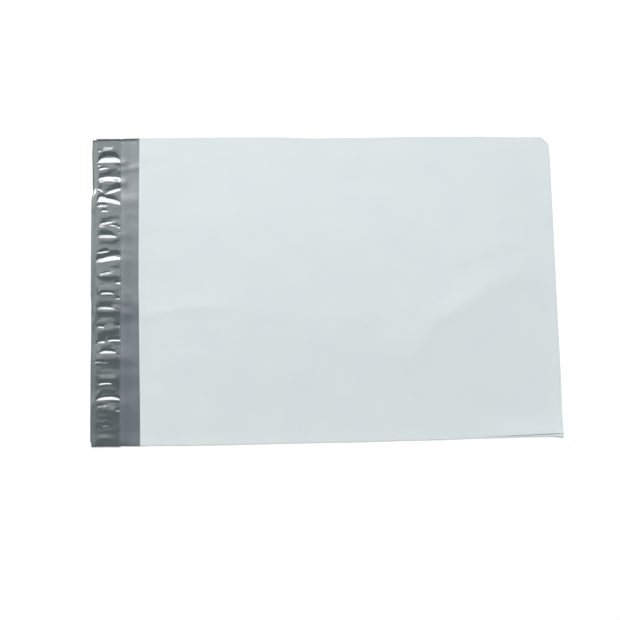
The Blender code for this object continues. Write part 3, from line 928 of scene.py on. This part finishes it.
def dress_adhesive():
    """The adhesive stripe: a slab with rounded long edges and uneven sides that lies on the flap's waves."""
    middle = [(low + high) / 2 for low, high in zip(GLUE_LOW, GLUE_HIGH)]
    size = [high - low for low, high in zip(GLUE_LOW, GLUE_HIGH)]
    bpy.ops.object.select_all(action="DESELECT")
    bpy.ops.mesh.primitive_cube_add(size=1.0, location=middle, scale=size)
    stripe = bpy.context.object
    stripe.name = "adhesive"
    stripe.data.name = "adhesive"
    bpy.ops.object.transform_apply(location=True, rotation=True, scale=True)
    bpy.ops.object.mode_set(mode="EDIT")
    form = bmesh.from_edit_mesh(stripe.data)
    for edge in form.edges:
        edge.select_set(abs((edge.verts[0].co - edge.verts[1].co).y) > size[1] / 2)
    bmesh.update_edit_mesh(stripe.data)
    bpy.ops.mesh.bevel(offset=size[2] * GLUE_ROUNDING, segments=GLUE_ROUND_STEPS)
    for y in spread(GLUE_LOW[1], GLUE_HIGH[1], GLUE_ROW_SPACING)[1:-1]:
        bpy.ops.mesh.select_all(action="SELECT")
        bpy.ops.mesh.bisect(plane_co=(0.0, y, 0.0), plane_no=(0.0, 1.0, 0.0))
    for x in spread(GLUE_LOW[0], GLUE_HIGH[0], GLUE_COLUMN_SPACING)[1:-1]:
        bpy.ops.mesh.select_all(action="SELECT")
        bpy.ops.mesh.bisect(plane_co=(x, 0.0, 0.0), plane_no=(1.0, 0.0, 0.0))
    form = bmesh.from_edit_mesh(stripe.data)
    places = np.array([vert.co for vert in form.verts])
    lifts = flap_lift(places[:, 0], places[:, 1]) + near_lift(places[:, 0], places[:, 1])
    for vert, lift in zip(form.verts, lifts):
        off_middle = (vert.co.x - middle[0]) / (size[0] / 2)
        side = GLUE_SIDE_SEED if off_middle > 0 else -GLUE_SIDE_SEED
        run = noise.noise(Vector((side, vert.co.y / GLUE_LUMP, GLUE_SEED)))
        vert.co.x -= off_middle**3 * GLUE_UNEVEN * (0.5 + 0.5 * run)
        vert.co.z += lift
    bmesh.update_edit_mesh(stripe.data)
    bpy.ops.object.mode_set(mode="OBJECT")
    bpy.ops.object.shade_smooth_by_angle(angle=math.radians(GLUE_SHARP))
    stripe.data.materials.append(clear_adhesive())
    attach(stripe, "root")
    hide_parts("adhesive_strip")
    return stripe


def dress_liner():
    """The puckered liner, given its thickness."""
    liner = finished(liner_mesh(), "liner", [clear_liner()], LINER_SHARP)
    wall = liner.modifiers.new("thickness", "SOLIDIFY")
    wall.thickness = LINER_THICKNESS
    wall.offset = 0.0
    bpy.ops.object.modifier_apply(modifier=wall.name)
    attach(liner, "root")
    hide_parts("release_liner")
    return liner


def seen_background(tree):
    """1 for rays that see the background as the camera or a shiny surface does, and 0 for the rest."""
    path = tree.nodes.new("ShaderNodeLightPath").outputs
    camera_or_shine = combined(tree, "MAXIMUM", path["Is Camera Ray"], path["Is Glossy Ray"])
    return combined(tree, "MAXIMUM", camera_or_shine, path["Is Transmission Ray"])


def floor_material():
    """White paper near the bag, running out to the white of the background."""
    made, tree, paper = node_material("floor_paper", roughness=PAPER_ROUGHNESS, ior=1.5)
    paper.inputs["Base Color"].default_value = (PAPER, PAPER, PAPER, 1.0)
    paper.inputs["Specular IOR Level"].default_value = 0.0
    place = tree.nodes.new("ShaderNodeTexCoord")
    distance = tree.nodes.new("ShaderNodeVectorMath")
    distance.operation = "LENGTH"
    tree.links.new(place.outputs["Object"], distance.inputs[0])
    seen = seen_background(tree)
    share = combined(tree, "MULTIPLY", faded(tree, distance.outputs["Value"], *FLOOR_FADE), seen)
    lift = tree.nodes.new("ShaderNodeEmission")
    tree.links.new(combined(tree, "MULTIPLY", seen, FLOOR_LIFT), lift.inputs["Strength"])
    lifted = tree.nodes.new("ShaderNodeAddShader")
    tree.links.new(paper.outputs["BSDF"], lifted.inputs[0])
    tree.links.new(lift.outputs["Emission"], lifted.inputs[1])
    background = tree.nodes.new("ShaderNodeEmission")
    mix = tree.nodes.new("ShaderNodeMixShader")
    tree.links.new(share, mix.inputs["Fac"])
    tree.links.new(lifted.outputs["Shader"], mix.inputs[1])
    tree.links.new(background.outputs["Emission"], mix.inputs[2])
    tree.links.new(mix.outputs["Shader"], tree.nodes["Material Output"].inputs["Surface"])
    return made


def floor():
    """A wide disc just under the bag."""
    bpy.ops.object.select_all(action="DESELECT")
    under = (0.0, 0.0, -FLOOR_DROP)
    bpy.ops.mesh.primitive_circle_add(
        vertices=FLOOR_SIDES, radius=FLOOR_RADIUS, fill_type="NGON", location=under)
    disc = bpy.context.object
    disc.name = "floor"
    bpy.ops.object.transform_apply(location=True, rotation=True, scale=True)
    disc.data.materials.append(floor_material())


def world():
    """A dim room with white walls low down."""
    room = bpy.data.worlds.new("room")
    bpy.context.scene.world = room
    room.use_nodes = True
    tree = room.node_tree
    back = tree.nodes["Background"]
    place = tree.nodes.new("ShaderNodeTexCoord")
    split = tree.nodes.new("ShaderNodeSeparateXYZ")
    tree.links.new(place.outputs["Generated"], split.inputs["Vector"])
    strength = faded(tree, split.outputs["Z"], *WORLD_FADE, at_low=1.0, at_high=WORLD_TOP)
    tree.links.new(strength, back.inputs["Strength"])
    back.inputs["Color"].default_value = (1.0, 1.0, 1.0, 1.0)


def softbox(name, tilt, heading, width, height, radiance):
    """A rectangular lamp at tilt from straight up, towards heading, facing the bag. Width and height
    are the angles that it fills, and all angles are in degrees."""
    lamp = bpy.data.lights.new(name, "AREA")
    lamp.shape = "RECTANGLE"
    lamp.size = 2.0 * LIGHT_DISTANCE * math.tan(math.radians(width / 2))
    lamp.size_y = 2.0 * LIGHT_DISTANCE * math.tan(math.radians(height / 2))
    lamp.energy = radiance * math.pi * lamp.size * lamp.size_y
    thing = bpy.data.objects.new(name, lamp)
    bpy.context.scene.collection.objects.link(thing)
    round_z = math.radians(heading)
    off_z = math.radians(tilt)
    level = math.sin(off_z)
    towards = Vector((level * math.cos(round_z), level * math.sin(round_z), math.cos(off_z)))
    side = Vector((0.0, 0.0, 1.0)).cross(towards).normalized()
    turn = Matrix((side, towards.cross(side), towards)).transposed()
    thing.matrix_world = Matrix.Translation(towards * LIGHT_DISTANCE) @ turn.to_4x4()
    thing.visible_camera = False


def lights():
    """A small bright box, and a large soft one that fades out towards the top of the room."""
    softbox("key", KEY_TILT, KEY_HEADING, KEY_SPAN, KEY_SPAN, KEY_RADIANCE)
    for upper_edge, radiance in SOFT_LIGHT:
        tilt = (SOFT_LIGHT_FOOT + upper_edge) / 2
        height = SOFT_LIGHT_FOOT - upper_edge
        softbox("soft light", tilt, SOFT_LIGHT_HEADING, SOFT_LIGHT_SPAN, height, radiance)


def camera():
    """The photo's view: from above, a little from the near side and the flap's."""
    lens = bpy.data.cameras.new("camera")
    lens.sensor_width = SENSOR_WIDTH
    lens.lens = LENS_LENGTH
    thing = bpy.data.objects.new("camera", lens)
    bpy.context.scene.collection.objects.link(thing)
    right = Vector(CAMERA_RIGHT).normalized()
    back = right.cross(Vector(CAMERA_UP)).normalized()
    up = back.cross(right)
    turn = Matrix((right, up, back)).transposed()
    thing.matrix_world = Matrix.Translation(CAMERA_PLACE) @ turn.to_4x4()
    bpy.context.scene.camera = thing


def main():
    """Builds the scene."""
    camera()
    film = dress_film()
    stripe = dress_adhesive()
    liner = dress_liner()
    floor()
    world()
    lights()
    bpy.context.scene.view_settings.view_transform = "Standard"


main()
